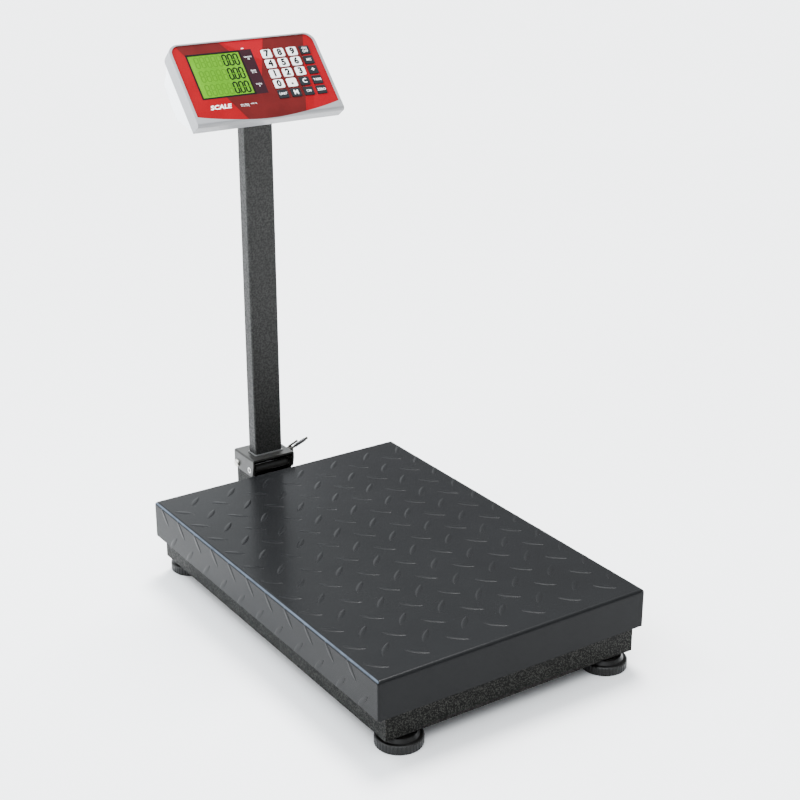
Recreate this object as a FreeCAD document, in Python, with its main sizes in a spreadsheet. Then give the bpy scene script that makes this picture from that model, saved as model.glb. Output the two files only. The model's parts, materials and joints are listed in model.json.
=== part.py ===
import FreeCAD, Part
import math
import os
import re

import Sketcher

# Platform shipping scale with a folding column and a tilting indicator head.
# Millimetres. The origin is on the floor, under the middle of the whole scale.
# +X is the user's right, +Y runs from the front edge to the column, +Z is up.

SIZES = {
    # how far a cutting tool runs past the face it cuts
    "past": 1,
    # weighing deck (lift-off chequered cover)
    "deck_width": 450, "deck_length": 652, "deck_top": 119, "deck_centre": -44.5,
    "deck_gauge": 3, "skirt_depth": 58.4, "bend_radius": 5, "deck_corner": 3,
    # frame under the cover, carried by the load cell
    "tray_width": 390, "tray_length": 610, "tray_bottom": 89.4, "tray_height": 20,
    "tray_rail": 20, "tray_gauge": 2, "tray_cross": 60,
    "buffer_radius": 15, "buffer_inset": 26,
    # base frame, folded channel open to the inside
    "frame_width": 421.6, "frame_length": 641, "frame_bottom": 22.4, "frame_height": 40,
    "side_rail": 30, "end_rail": 40, "frame_gauge": 3, "cell_cross": 70, "cross_height": 25,
    # load cell and its spacers
    "cell_length": 150, "cell_width": 40, "cell_height": 32, "cell_grip": 50,
    "spacer_length": 45, "spacer_thick": 5, "flex_gap": 1.3, "cell_bolt": 4, "bolt_head": 6.5,
    "bolt_pitch": 25, "cell_eye": 9, "eye_offset": 13.5, "slot_half": 3, "bolt_reach": 22.4,
    "bolt_cap": 5.2, "bolt_gap": 0.1,
    # overload stop screws
    "stop_side": 185, "stop_end": 250, "stop_radius": 5, "stop_nut": 5, "stop_head": 8,
    "stop_disc": 2.5, "stop_gap": 1.1,
    # levelling feet
    "foot_side": 176.5, "foot_end": 300.5, "pad_radius": 33.6, "pad_rim": 13.5,
    "pad_shoulder": 28, "pad_slope": 0.8, "pad_neck": 25, "pad_top": 19.5, "pad_floor": 5.7,
    "pad_chamfer": 1, "pad_bevel": 1.5, "stud_radius": 6, "stud_top": 54, "collar_radius": 11,
    "foot_gap": 0.3, "running_gap": 0.05, "flute_radius": 1.5, "flute_count": 40,
    "nut_radius": 11, "nut_height": 14,
    # fixed hinge stand behind the deck
    "pivot_back": 353, "pivot_height": 117, "pin_radius": 5, "pin_half": 39.2,
    "socket_radius": 3, "socket_depth": 8, "sleeve_radius": 7, "stand_half": 35.5,
    "stand_gauge": 4, "stand_rear": 49, "stand_front": 10, "stand_top": 17.7,
    "stand_foot": 94, "stand_reach": 27.5, "stand_step": 59.8, "flange_half": 60,
    "flange_thick": 5, "flange_height": 34, "stand_nose": 47.84, "notch_slack": 3,
    # folding bracket at the column's foot
    "bracket_half": 39, "bracket_gauge": 3, "bracket_front": 14, "bracket_rear": 51,
    "bracket_top": 21, "bracket_drop": 10, "bracket_tail": 3, "eye_radius": 9.5,
    "cable_hole": 8, "stop_bolt_back": 41, "stop_bolt_drop": 1, "stop_bolt_radius": 4,
    "stop_bolt_head": 6.5, "stop_bolt_end": 1, "notch_front": 11.5,
    # locking pin with its lever handle
    "lock_radius": 4, "lock_tip": 36.2, "lock_eye": 62, "bush_radius": 8, "bush_length": 10.4,
    "eye_boss": 5.6, "handle_angle": 21.7, "handle_length": 36, "handle_radius": 2.2,
    "handle_ball": 2.53, "spur_length": 19, "spur_offset": 6.5, "spur_radius": 1.8,
    # column tube and its pivot block
    "column_back": 366.4, "column_wide": 50, "column_deep": 25, "column_wall": 2,
    "column_corner": 3.5, "column_top": 687, "plug_depth": 22, "cap_thick": 3, "lug_half": 10,
    "lug_radius": 8, "cable_slot": 4, "cable_side": 16.67, "tilt_height": 699,
    # indicator head, measured in its own tilted frame: up the face and out of the face
    "head_back": 316.598, "head_height": 719.863, "face_tilt": 47.46,
    "shell_half": 127, "shell_top": 127.5, "chin_front": 16.5, "chin_rear": 13.5,
    "split_depth": 22, "rim_proud": 1.2, "shell_corner": 18, "shell_wall": 2.5,
    "floor_depth": 3, "rim_round": 0.8, "overlay_half": 122.5, "overlay_top": 125, "overlay_sag": 15,
    "overlay_thick": 0.8, "overlay_corner": 15,
    "back_half": 124, "back_top": 126.5, "brow_depth": 25, "brow_low": 106, "brow_rear": 29,
    "bulge_high": 95, "bulge_depth": 54, "bulge_low": 37, "bulge_rear": 60.5, "back_round": 5,
    "wall_slip": 1.75, "brow_wall": 2, "bulge_wall": 2.75, "chin_wall": 4,
    "recess_half": 34, "recess_low": -5, "recess_high": 52, "recess_depth": 38,
    "tilt_up": 18.3, "tilt_depth": 50.8, "yoke_gauge": 3, "yoke_half": 26, "yoke_low": -1,
    "yoke_high": 46, "yoke_gap": 0.3, "yoke_radius": 8, "yoke_screw_side": 20,
    "yoke_screw_low": 28, "yoke_screw_high": 40, "knob_pin": 4, "knob_radius": 9,
    "knob_length": 14, "knob_head": 6.5, "knob_lobes": 6, "knob_dent": 2.25, "dent_circle": 9.8,
    # display and keys
    "lcd_left": -99.7, "lcd_low": 31, "lcd_wide": 86.2, "lcd_high": 74, "lcd_gap": 0.2,
    "lcd_border": 4.5, "lcd_front": 0.3, "lcd_back": 8,
    "key_left": 24.3, "key_top": 103.6, "key_pitch_x": 22.7, "key_pitch_y": 18.3,
    "key_wide": 17, "key_high": 15, "key_proud": 0.9, "key_gap": 0.3, "key_lip": 1.2,
    "key_lip_top": 3.1, "key_lip_thick": 1.5, "key_corner": 2.5, "key_edge": 0.4,
    "board_front": 9, "board_thick": 1.6, "board_half": 118, "board_low": 5, "board_high": 118,
    "dome_radius": 3, "dome_height": 3.3,
    # power parts in the head
    "battery_left": -113, "battery_low": 38, "battery_wide": 70, "battery_high": 47,
    "battery_deep": 34, "battery_front": 15, "door_left": -106, "door_low": 42,
    "door_wide": 56, "door_high": 40, "door_reach": 8, "door_gap": 0.3, "battery_edge": 0.8,
    "switch_up": 68, "switch_depth": 40, "switch_high": 21, "switch_wide": 15,
    "switch_frame": 1.5, "switch_body": 14, "rocker_radius": 9.5, "rocker_inset": 3,
    "dish_radius": 11.4, "dish_offset": 16.625, "jack_up": 46, "jack_depth": 42, "jack_radius": 5.5,
    "jack_length": 14, "jack_flange": 8, "jack_bore": 3.025, "jack_pin": 1.1, "jack_floor": 2,
    "jack_pin_length": 11,
    "screw_radius": 1.5, "screw_head": 2.8, "screw_rise": 1.8, "screw_side": 112,
    "screw_high": 112, "screw_low": 14, "boss_radius": 5.5, "counterbore": 3.2,
    "screw_seat_low": 38, "screw_seat_high": 25.5,
}

doc = FreeCAD.newDocument("PlatformScale")
sheet = doc.addObject("Spreadsheet::Sheet", "Sizes")
for row, (alias, number) in enumerate(SIZES.items(), start=1):
    sheet.set(f"A{row}", alias)
    sheet.set(f"B{row}", str(number))
    sheet.setAlias(f"B{row}", alias)
doc.recompute()

NODES = {}


# ---------------------------------------------------------------- helpers

def size(alias):
    """A driving dimension, read back from the sheet."""
    return float(sheet.get(alias))


def link(formula):
    """Point each alias in a formula at its cell."""
    def cell(word):
        return "Sizes." + word.group() if word.group() in SIZES else word.group()
    return re.sub(r"[a-z][a-z_]*[a-z]", cell, str(formula))


def bind(thing, **formulas):
    """Bind properties to sheet formulas; a double underscore stands for a dot."""
    for name, formula in formulas.items():
        thing.setExpression(name.replace("__", "."), link(formula))


def place(thing, x="0", y="0", z="0"):
    bind(thing, Placement__Base__x=x, Placement__Base__y=y, Placement__Base__z=z)
    return thing


def box(x, y, z, dx, dy, dz):
    """A block from its low corner and its three sizes."""
    block = doc.addObject("Part::Box", "Block")
    bind(block, Length=dx, Width=dy, Height=dz)
    return place(block, x, y, z)


def slab(half_x, y_low, y_high, z_low, z_high):
    """A block centred on X, between two heights and two depths."""
    return box(f"-({half_x})", y_low, z_low, f"2 * ({half_x})",
               f"({y_high}) - ({y_low})", f"({z_high}) - ({z_low})")


def rod(radius, length, x="0", y="0", z="0", along="Z"):
    """A cylinder that starts at a point and runs along +X, +Y or +Z."""
    cylinder = doc.addObject("Part::Cylinder", "Rod")
    directions = {"X": (1, 0, 0), "Y": (0, 1, 0), "Z": (0, 0, 1)}
    cylinder.Placement.Rotation = FreeCAD.Rotation(
        FreeCAD.Vector(0, 0, 1), FreeCAD.Vector(*directions[along]))
    bind(cylinder, Radius=radius, Height=length)
    return place(cylinder, x, y, z)


def hexagon(radius, height, x="0", y="0", z="0"):
    prism = doc.addObject("Part::Prism", "Hexagon")
    prism.Polygon = 6
    bind(prism, Circumradius=radius, Height=height)
    return place(prism, x, y, z)


def fuse(*shapes):
    if len(shapes) == 1:
        return shapes[0]
    union = doc.addObject("Part::MultiFuse", "Union")
    union.Shapes = list(shapes)
    return union


def group(*shapes):
    """Separate solids of one node, such as a set of equal screws."""
    bundle = doc.addObject("Part::Compound", "Group")
    bundle.Links = list(shapes)
    return bundle


def cut(base, *tools):
    difference = doc.addObject("Part::Cut", "Difference")
    difference.Base = base
    difference.Tool = fuse(*tools)
    return difference


def common(*shapes):
    overlap = doc.addObject("Part::MultiCommon", "Overlap")
    overlap.Shapes = list(shapes)
    return overlap


def soften(solid, radius, choose):
    """Round the edges of a finished solid that choose() accepts."""
    doc.recompute()
    rounded = doc.addObject("Part::Fillet", "Rounded")
    rounded.Base = solid
    picked = [number for number, edge in enumerate(solid.Shape.Edges, start=1) if choose(edge)]
    rounded.Edges = [(number, size(radius), size(radius)) for number in picked]
    return rounded


def runs_along(axis):
    """Chooser for straight edges parallel to an axis (0, 1 or 2)."""
    def choose(edge):
        return edge.Curve.TypeId == "Part::GeomLine" and abs(edge.tangentAt(0)[axis]) > 0.999
    return choose


def at_level(axis, level, *directions):
    """Chooser for edges lying at one coordinate, optionally only those along some axes."""
    def choose(edge):
        box_ = edge.BoundBox
        low, high = ((box_.XMin, box_.XMax), (box_.YMin, box_.YMax), (box_.ZMin, box_.ZMax))[axis]
        flat = abs(low - level) < 0.01 and abs(high - level) < 0.01
        return flat and (not directions or any(runs_along(way)(edge) for way in directions))
    return choose


def draw(sketch, points):
    """A closed outline through points given as pairs of formulas."""
    count = len(points)
    ring = [FreeCAD.Vector(math.cos(2 * math.pi * turn / count),
                           math.sin(2 * math.pi * turn / count), 0) for turn in range(count)]
    for index in range(count):
        sketch.addGeometry(Part.LineSegment(ring[index], ring[(index + 1) % count]))
    for index in range(count):
        sketch.addConstraint(Sketcher.Constraint("Coincident", index, 2, (index + 1) % count, 1))
    for index, (across, up) in enumerate(points):
        start = ring[index]
        for kind, formula, guess in (("DistanceX", across, start.x), ("DistanceY", up, start.y)):
            number = sketch.addConstraint(Sketcher.Constraint(kind, -1, 1, index, 1, guess))
            sketch.setExpression(f"Constraints[{number}]", link(formula))
    return sketch


def rectangle(half_x, y_low, y_high):
    return [(f"-({half_x})", y_low), (half_x, y_low), (half_x, y_high), (f"-({half_x})", y_high)]


def new_body(label, x="0", y="0", z="0"):
    body = doc.addObject("PartDesign::Body", label)
    return place(body, x, y, z)


def sketch_in(body, role, points, offset="0"):
    """An outline on one of the body's own origin planes, shifted along its normal."""
    sketch = body.newObject("Sketcher::SketchObject", "Outline")
    plane = next(item for item in body.Origin.OriginFeatures if item.Role == role)
    sketch.AttachmentSupport = (plane, [""])
    sketch.MapMode = "FlatFace"
    bind(sketch, AttachmentOffset__Base__z=offset)
    return draw(sketch, points)


def pad(body, sketch, length, symmetric=False):
    feature = body.newObject("PartDesign::Pad", "Pad")
    feature.Profile = sketch
    feature.SideType = "Symmetric" if symmetric else "One side"
    bind(feature, Length=length)
    return feature


def pocket(body, sketch, length, symmetric=False, upward=False):
    """Remove material, and make sure that some was removed."""
    doc.recompute()
    before = body.Shape.Volume
    feature = body.newObject("PartDesign::Pocket", "Pocket")
    feature.Profile = sketch
    feature.SideType = "Symmetric" if symmetric else "One side"
    feature.Reversed = upward
    bind(feature, Length=length)
    doc.recompute()
    if body.Shape.Volume > before - 1:
        raise RuntimeError(f"a pocket of {body.Label} removes nothing")
    return feature


def round_body(body, radius, choose):
    doc.recompute()
    base = body.Tip
    edges = [f"Edge{number}" for number, edge in enumerate(base.Shape.Edges, start=1) if choose(edge)]
    feature = body.newObject("PartDesign::Fillet", "Round")
    feature.Base = (base, edges)
    bind(feature, Radius=radius)
    return feature


def side_prism(points, width):
    """A solid with a side outline (Y across, Z up), centred on X."""
    sketch = doc.addObject("Sketcher::SketchObject", "SideOutline")
    sketch.Placement.Rotation = FreeCAD.Rotation(
        FreeCAD.Vector(0, 1, 0), FreeCAD.Vector(0, 0, 1), FreeCAD.Vector(1, 0, 0), "XYZ")
    draw(sketch, points)
    solid = doc.addObject("Part::Extrusion", "SidePrism")
    solid.Base = sketch
    solid.DirMode = "Custom"
    solid.Dir = FreeCAD.Vector(1, 0, 0)
    solid.Solid = True
    solid.Symmetric = True
    bind(solid, LengthFwd=width)
    return solid


def node(thing, label):
    """Name a finished sub-part; its label names its file."""
    thing.Label = label
    NODES[label] = thing
    return thing


def on_head(thing, label):
    """Set a head piece, modelled flat, on the tilted face of the head."""
    tilt = FreeCAD.Rotation(FreeCAD.Vector(1, 0, 0), size("face_tilt"))
    thing.Placement = FreeCAD.Placement(FreeCAD.Vector(0, 0, 0), tilt)
    place(thing, "0", "deck_centre + head_back", "head_height")
    return node(thing, label)


def four(side, end):
    """Corner points, left then right, front then rear."""
    return [(f"{sign_x} * {side}", f"{sign_y} * {end}") for sign_y in (-1, 1) for sign_x in (-1, 1)]


CORNERS = ("front_left", "front_right", "rear_left", "rear_right")


# ---------------------------------------------------------------- weighing deck

def make_deck_plate():
    body = new_body("deck_plate", "0", "deck_centre", "deck_top - skirt_depth")
    outside = rectangle("deck_width / 2", "-deck_length / 2", "deck_length / 2")
    pad(body, sketch_in(body, "XY_Plane", outside), "skirt_depth")
    round_body(body, "deck_corner", runs_along(2))
    round_body(body, "bend_radius", at_level(2, size("skirt_depth")))
    inside = rectangle("deck_width / 2 - deck_gauge", "deck_gauge - deck_length / 2",
                       "deck_length / 2 - deck_gauge")
    pocket(body, sketch_in(body, "XY_Plane", inside), "skirt_depth - deck_gauge", upward=True)
    node(body, "deck_plate")


def make_deck_frame():
    """Channel ring with a cross channel over the load cell's free end."""
    low, high = "tray_bottom", "tray_bottom + tray_height"
    ring = cut(slab("tray_width / 2", "-tray_length / 2", "tray_length / 2", low, high),
               slab("tray_width / 2 - tray_rail", "tray_rail - tray_length / 2",
                    "tray_length / 2 - tray_rail", low, high),
               slab("tray_width / 2 - tray_gauge", "tray_gauge - tray_length / 2",
                    "tray_length / 2 - tray_gauge", f"{low} + tray_gauge", f"{high} - tray_gauge"))
    near = "cell_grip - tray_cross / 2"
    far = "cell_grip + tray_cross / 2"
    cross = cut(slab("tray_width / 2 - tray_gauge", near, far, low, high),
                slab("tray_width / 2 - tray_rail", f"{near} + tray_gauge", f"{far} - tray_gauge",
                     f"{low} + deck_gauge", high))
    holes = [rod("cell_bolt + bolt_gap", "tray_height", "0", f"cell_grip + {sign} * bolt_pitch / 2", low)
             for sign in (-1, 1)]
    frame = cut(fuse(ring, cross), *holes)
    node(place(frame, "0", "deck_centre", "0"), "deck_frame")


def make_deck_buffers():
    """Six rubber pads between the frame and the cover."""
    side = "(tray_width / 2 - tray_rail / 2)"
    end = "(tray_length / 2 - buffer_inset)"
    spots = four(side, end) + [(f"-{side}", "0"), (side, "0")]
    base = "tray_bottom + tray_height"
    pads = [rod("buffer_radius", "deck_top - deck_gauge - tray_bottom - tray_height", x, y, base)
            for x, y in spots]
    node(place(group(*pads), "0", "deck_centre", "0"), "deck_buffers")


# ---------------------------------------------------------------- base frame and load cell

def make_base_frame():
    """Folded channel ring, a cross channel under the load cell and a weld nut for each foot."""
    low, high = "frame_bottom", "frame_bottom + frame_height"
    ring = cut(slab("frame_width / 2", "-frame_length / 2", "frame_length / 2", low, high),
               slab("frame_width / 2 - side_rail", "end_rail - frame_length / 2",
                    "frame_length / 2 - end_rail", low, high),
               slab("frame_width / 2 - frame_gauge", "frame_gauge - frame_length / 2",
                    "frame_length / 2 - frame_gauge", f"{low} + frame_gauge", f"{high} - frame_gauge"))
    near = "-cell_grip - cell_cross / 2"
    far = "-cell_grip + cell_cross / 2"
    cross = cut(slab("frame_width / 2 - frame_gauge", near, far, low, f"{low} + cross_height"),
                slab("frame_width / 2 - side_rail", f"{near} + frame_gauge", f"{far} - frame_gauge",
                     low, f"{low} + cross_height - frame_gauge"))
    nuts = [rod("nut_radius", "nut_height", x, y, low) for x, y in four("foot_side", "foot_end")]
    studs = [rod("stud_radius", "frame_height - frame_gauge", x, y, low)
             for x, y in four("foot_side", "foot_end")]
    stops = [rod("stop_radius", "frame_gauge * 2", x, y, f"{high} - frame_gauge * 1.5")
             for x, y in four("stop_side", "stop_end")]
    bolts = [rod("cell_bolt + bolt_gap", "frame_height", "0",
                 f"-cell_grip + {sign} * bolt_pitch / 2", low) for sign in (-1, 1)]
    frame = cut(fuse(ring, cross, *nuts), *(studs + stops + bolts))
    node(place(frame, "0", "deck_centre", "0"), "base_frame")


def cell_bolts(y, z_low, z_high, head_low):
    """Two hexagon bolts in line along the load cell."""
    pair = []
    for sign in (-1, 1):
        spot = f"{y} + {sign} * bolt_pitch / 2"
        shank = rod("cell_bolt", f"({z_high}) - ({z_low})", "0", spot, z_low)
        pair.append(fuse(shank, hexagon("bolt_head", "bolt_cap", "0", spot, head_low)))
    return group(*pair)


def make_load_cell():
    """Bending-beam cell, bolted down at the front and up at the rear, with room under the rear spacer."""
    under = "(frame_bottom + cross_height)"
    cell_low = f"({under} + spacer_thick)"
    cell_high = f"({cell_low} + cell_height)"
    beam = slab("cell_width / 2", "-cell_length / 2", "cell_length / 2", cell_low, cell_high)
    middle = f"{cell_low} + cell_height / 2"
    eyes = [rod("cell_eye", "cell_width", "-cell_width / 2", f"{sign} * eye_offset", middle, "X")
            for sign in (-1, 1)]
    slot = slab("cell_width / 2", "-eye_offset", "eye_offset",
                f"{middle} - slot_half", f"{middle} + slot_half")
    holes = [rod("cell_bolt + bolt_gap", "cell_height", "0",
                 f"{end} * cell_grip + {sign} * bolt_pitch / 2", cell_low)
             for end in (-1, 1) for sign in (-1, 1)]
    cell = cut(beam, *(eyes + [slot] + holes))
    node(place(cell, "0", "deck_centre", "0"), "load_cell")
    for label, end, low, high in (("lower_spacer", "-cell_grip", under, cell_low),
                                  ("upper_spacer", "cell_grip", f"{cell_high} + flex_gap", "tray_bottom")):
        plate = slab("cell_width / 2", f"{end} - spacer_length / 2", f"{end} + spacer_length / 2", low, high)
        drills = [rod("cell_bolt + bolt_gap", "spacer_thick", "0", f"{end} + {sign} * bolt_pitch / 2", low)
                  for sign in (-1, 1)]
        node(place(cut(plate, *drills), "0", "deck_centre", "0"), label)
    lower_face = f"{under} - frame_gauge"
    lower = cell_bolts("-cell_grip", lower_face, f"{cell_low} + bolt_reach", f"{lower_face} - bolt_cap")
    node(place(lower, "0", "deck_centre", "0"), "lower_bolts")
    upper_face = "tray_bottom + deck_gauge"
    upper = cell_bolts("cell_grip", f"{cell_high} - bolt_reach", upper_face, upper_face)
    node(place(upper, "0", "deck_centre", "0"), "upper_bolts")


def make_stop_screws():
    """Domed overload stops under the deck frame's side rails."""
    top = "tray_bottom - stop_gap"
    frame_top = "frame_bottom + frame_height"
    screws = []
    for x, y in four("stop_side", "stop_end"):
        start = f"{frame_top} - frame_gauge * 2"
        screws.append(fuse(rod("stop_radius", f"{top} - ({start})", x, y, start),
                           hexagon("stop_head", "stop_nut", x, y, frame_top),
                           rod("stop_head", "stop_disc", x, y, f"{top} - stop_disc")))
    node(place(group(*screws), "0", "deck_centre", "0"), "stop_screws")


# ---------------------------------------------------------------- levelling feet

def make_foot(corner, x, y):
    """Fluted pad that turns on a collared stud."""
    stud = fuse(rod("stud_radius - running_gap", "stud_top - pad_floor - foot_gap", x, y,
                    "pad_floor + foot_gap"),
                rod("collar_radius", "frame_bottom - pad_top - foot_gap * 2", x, y,
                    "pad_top + foot_gap"))
    node(place(stud, "0", "deck_centre", "0"), f"foot_stud_{corner}")
    body = new_body(f"foot_pad_{corner}", x, f"deck_centre + {y}", "0")
    profile = sketch_in(body, "XZ_Plane", [
        ("0", "0"), ("pad_radius - pad_chamfer", "0"), ("pad_radius", "pad_chamfer"),
        ("pad_radius", "pad_rim - pad_bevel"), ("pad_radius - pad_bevel", "pad_rim"),
        ("pad_shoulder", "pad_rim + pad_slope"), ("pad_neck", "pad_top"), ("stud_radius", "pad_top"),
        ("stud_radius", "pad_floor"), ("0", "pad_floor")])
    turned = body.newObject("PartDesign::Revolution", "Turned")
    turned.Profile = profile
    turned.ReferenceAxis = (profile, ["V_Axis"])
    turned.Angle = 360
    doc.recompute()
    before = body.Shape.Volume
    flute = body.newObject("Sketcher::SketchObject", "Flute")
    plane = next(item for item in body.Origin.OriginFeatures if item.Role == "XY_Plane")
    flute.AttachmentSupport = (plane, [""])
    flute.MapMode = "FlatFace"
    flute.addGeometry(Part.Circle(FreeCAD.Vector(size("pad_radius"), 0, 0), FreeCAD.Vector(0, 0, 1),
                                  size("flute_radius")))
    flute.addConstraint(Sketcher.Constraint("PointOnObject", 0, 3, -1))
    reach = flute.addConstraint(Sketcher.Constraint("DistanceX", -1, 1, 0, 3, size("pad_radius")))
    flute.setExpression(f"Constraints[{reach}]", link("pad_radius + flute_radius / 3"))
    width = flute.addConstraint(Sketcher.Constraint("Radius", 0, size("flute_radius")))
    flute.setExpression(f"Constraints[{width}]", link("flute_radius"))
    groove = body.newObject("PartDesign::Pocket", "Groove")
    groove.Profile = flute
    groove.Reversed = True
    bind(groove, Length="pad_rim")
    ring = body.newObject("PartDesign::PolarPattern", "Flutes")
    ring.Originals = [groove]
    ring.Axis = (flute, ["N_Axis"])
    ring.Angle = 360
    bind(ring, Occurrences="flute_count")
    body.Tip = ring
    doc.recompute()
    if body.Shape.Volume > before - size("flute_count"):
        raise RuntimeError("the flutes remove nothing")
    node(body, f"foot_pad_{corner}")


# ---------------------------------------------------------------- hinge stand and bracket

def make_hinge_stand():
    """Fixed channel that rises behind the deck and holds the column's pivot."""
    outline = [("-stand_reach", "-stand_foot"), ("stand_rear", "-stand_foot"),
               ("stand_rear", "stand_top"), ("stand_front / 2", "stand_top"),
               ("-stand_front", "stand_front"), ("-stand_front", "-stand_nose"),
               ("-stand_reach", "-stand_step")]
    inner = "(stand_half - stand_gauge)"
    walls = cut(side_prism(outline, "stand_half * 2"),
                slab(inner, "-stand_reach - past", "stand_rear - stand_gauge",
                     "stand_gauge - stand_foot", "stand_top + past"),
                slab(inner, "0", "stand_rear + past", "stand_front", "stand_top + past"))
    flange = slab("flange_half", "-stand_reach - flange_thick", "-stand_reach",
                  "-stand_foot", "flange_height - stand_foot")
    bore = rod("pin_radius + bolt_gap", "stand_half * 2", "-stand_half", "0", "0", "X")
    lock_hole = rod("lock_radius + bolt_gap * 2", "stand_half + past", "0", "stop_bolt_back",
                    "-stop_bolt_drop", "X")
    notch = box("-stand_half - past", "stop_bolt_back - notch_front",
                "-stop_bolt_drop - stop_bolt_radius - foot_gap", "stand_gauge + notch_slack + past",
                "stand_rear - stop_bolt_back + notch_front + past", "stand_top * 2")
    stand = cut(fuse(walls, flange), bore, lock_hole, notch)
    node(place(stand, "0", "deck_centre + pivot_back", "pivot_height"), "hinge_stand")


def make_pivot():
    pin = cut(rod("pin_radius", "pin_half * 2", "-pin_half", "0", "0", "X"),
              rod("socket_radius", "socket_depth", "-pin_half", "0", "0", "X"),
              rod("socket_radius", "socket_depth", "pin_half - socket_depth", "0", "0", "X"))
    node(place(pin, "0", "deck_centre + pivot_back", "pivot_height"), "pivot_pin")
    inner = "(stand_half - stand_gauge)"
    sleeve = cut(rod("sleeve_radius", f"2 * {inner}", f"-{inner}", "0", "0", "X"),
                 rod("pin_radius + bolt_gap", f"2 * {inner}", f"-{inner}", "0", "0", "X"))
    node(place(sleeve, "0", "deck_centre + pivot_back", "pivot_height"), "pivot_sleeve")


def make_column_bracket():
    """Folded inverted channel that swings on the pivot and carries the column."""
    body = new_body("column_bracket", "0", "deck_centre + pivot_back", "pivot_height")
    outline = [("-bracket_front", "bracket_top"), ("-bracket_front", "bracket_drop"),
               ("-bracket_drop", "-bracket_drop"), ("bracket_rear - bracket_drop", "-bracket_drop"),
               ("bracket_rear", "-bracket_tail"), ("bracket_rear", "bracket_top")]
    pad(body, sketch_in(body, "YZ_Plane", outline), "bracket_half * 2", symmetric=True)
    round_body(body, "eye_radius", at_corner(-size("bracket_drop"), -size("bracket_drop")))
    round_body(body, "bracket_gauge", at_level(2, size("bracket_top"), 1))
    hollow = [("-bracket_front - past", "bracket_top - bracket_gauge"),
              ("-bracket_front - past", "-bracket_rear"), ("bracket_rear + past", "-bracket_rear"),
              ("bracket_rear + past", "bracket_top - bracket_gauge")]
    pocket(body, sketch_in(body, "YZ_Plane", hollow), "2 * (bracket_half - bracket_gauge)", symmetric=True)
    bore = rod("pin_radius + running_gap", "bracket_half * 2", "-bracket_half", "0", "0", "X")
    lock_hole = rod("lock_radius + running_gap", "bracket_half", "0", "stop_bolt_back",
                    "-stop_bolt_drop", "X")
    bolt_hole = rod("stop_bolt_radius + bolt_gap", "bracket_half", "-bracket_half", "stop_bolt_back",
                    "-stop_bolt_drop", "X")
    cable_hole = rod("cable_hole", "bracket_top", "0", "column_back - pivot_back", "bracket_gauge")
    tools = fuse(bore, lock_hole, bolt_hole, cable_hole)
    place(tools, "0", "deck_centre + pivot_back", "pivot_height")
    body.Label = "bracket_blank"
    node(cut(body, tools), "column_bracket")
    shank = "(stand_gauge + bracket_gauge + foot_gap * 2)"
    bolt = fuse(rod("stop_bolt_radius", f"{shank} + stop_bolt_end", "-bracket_half", "0", "0", "X"),
                rod("stop_bolt_head", "stop_bolt_radius", "-bracket_half - stop_bolt_radius", "0", "0", "X"))
    rounded = soften(bolt, "bracket_gauge", at_level(0, -size("bracket_half") - size("stop_bolt_radius")))
    node(place(rounded, "0", "deck_centre + pivot_back + stop_bolt_back",
               "pivot_height - stop_bolt_drop"), "stop_bolt")


def at_corner(y, z):
    """Chooser for the edge along X through one corner of a side outline."""
    def choose(edge):
        spot = edge.CenterOfMass
        return runs_along(0)(edge) and abs(spot.y - y) < 0.01 and abs(spot.z - z) < 0.01
    return choose


def make_lock():
    """Bush on the bracket's right cheek and the sliding pin with its lever, drawn parked (pulled out)."""
    y = "deck_centre + pivot_back + stop_bolt_back"
    z = "pivot_height - stop_bolt_drop"
    bush = cut(rod("bush_radius", "bush_length", "bracket_half", "0", "0", "X"),
               rod("lock_radius + running_gap", "bush_length", "bracket_half", "0", "0", "X"))
    node(place(soften(bush, "rim_round", outer_rim), "0", y, z), "lock_bush")
    pin = rod("lock_radius", "lock_eye - lock_tip", "lock_tip", "0", "0", "X")
    eye = rod("eye_boss", "lock_radius * 2", "lock_eye - lock_radius", "0", "0", "X")
    lever = rod("handle_radius", "handle_length", "lock_eye", "0", "0", "X")
    spur = rod("spur_radius", "spur_length", "lock_eye", "0", "0", "X")
    link_bar = rod("spur_radius", "spur_offset", "lock_eye", "0", "0")
    tilt = FreeCAD.Rotation(FreeCAD.Vector(0, 1, 0), -size("handle_angle"))
    for piece in (lever, spur, link_bar):
        piece.Placement.Rotation = tilt.multiply(piece.Placement.Rotation)
    rise = "spur_offset * cos(handle_angle * 1 deg)"
    lean = "spur_offset * sin(handle_angle * 1 deg)"
    bind(spur, Placement__Base__x=f"lock_eye - {lean}", Placement__Base__z=rise)
    tip = doc.addObject("Part::Sphere", "LeverTip")
    bind(tip, Radius="handle_ball")
    place(tip, "lock_eye + handle_length * cos(handle_angle * 1 deg)", "0",
          "handle_length * sin(handle_angle * 1 deg)")
    node(place(fuse(pin, eye, lever, spur, link_bar, tip), "0", y, z), "lock_pin")


def outer_rim(edge):
    """Chooser for the outer circle at the far end of the lock's bush."""
    level = size("bracket_half") + size("bush_length")
    return at_level(0, level)(edge) and edge.Length > 2 * math.pi * size("lock_radius") * 1.5


# ---------------------------------------------------------------- column

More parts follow.
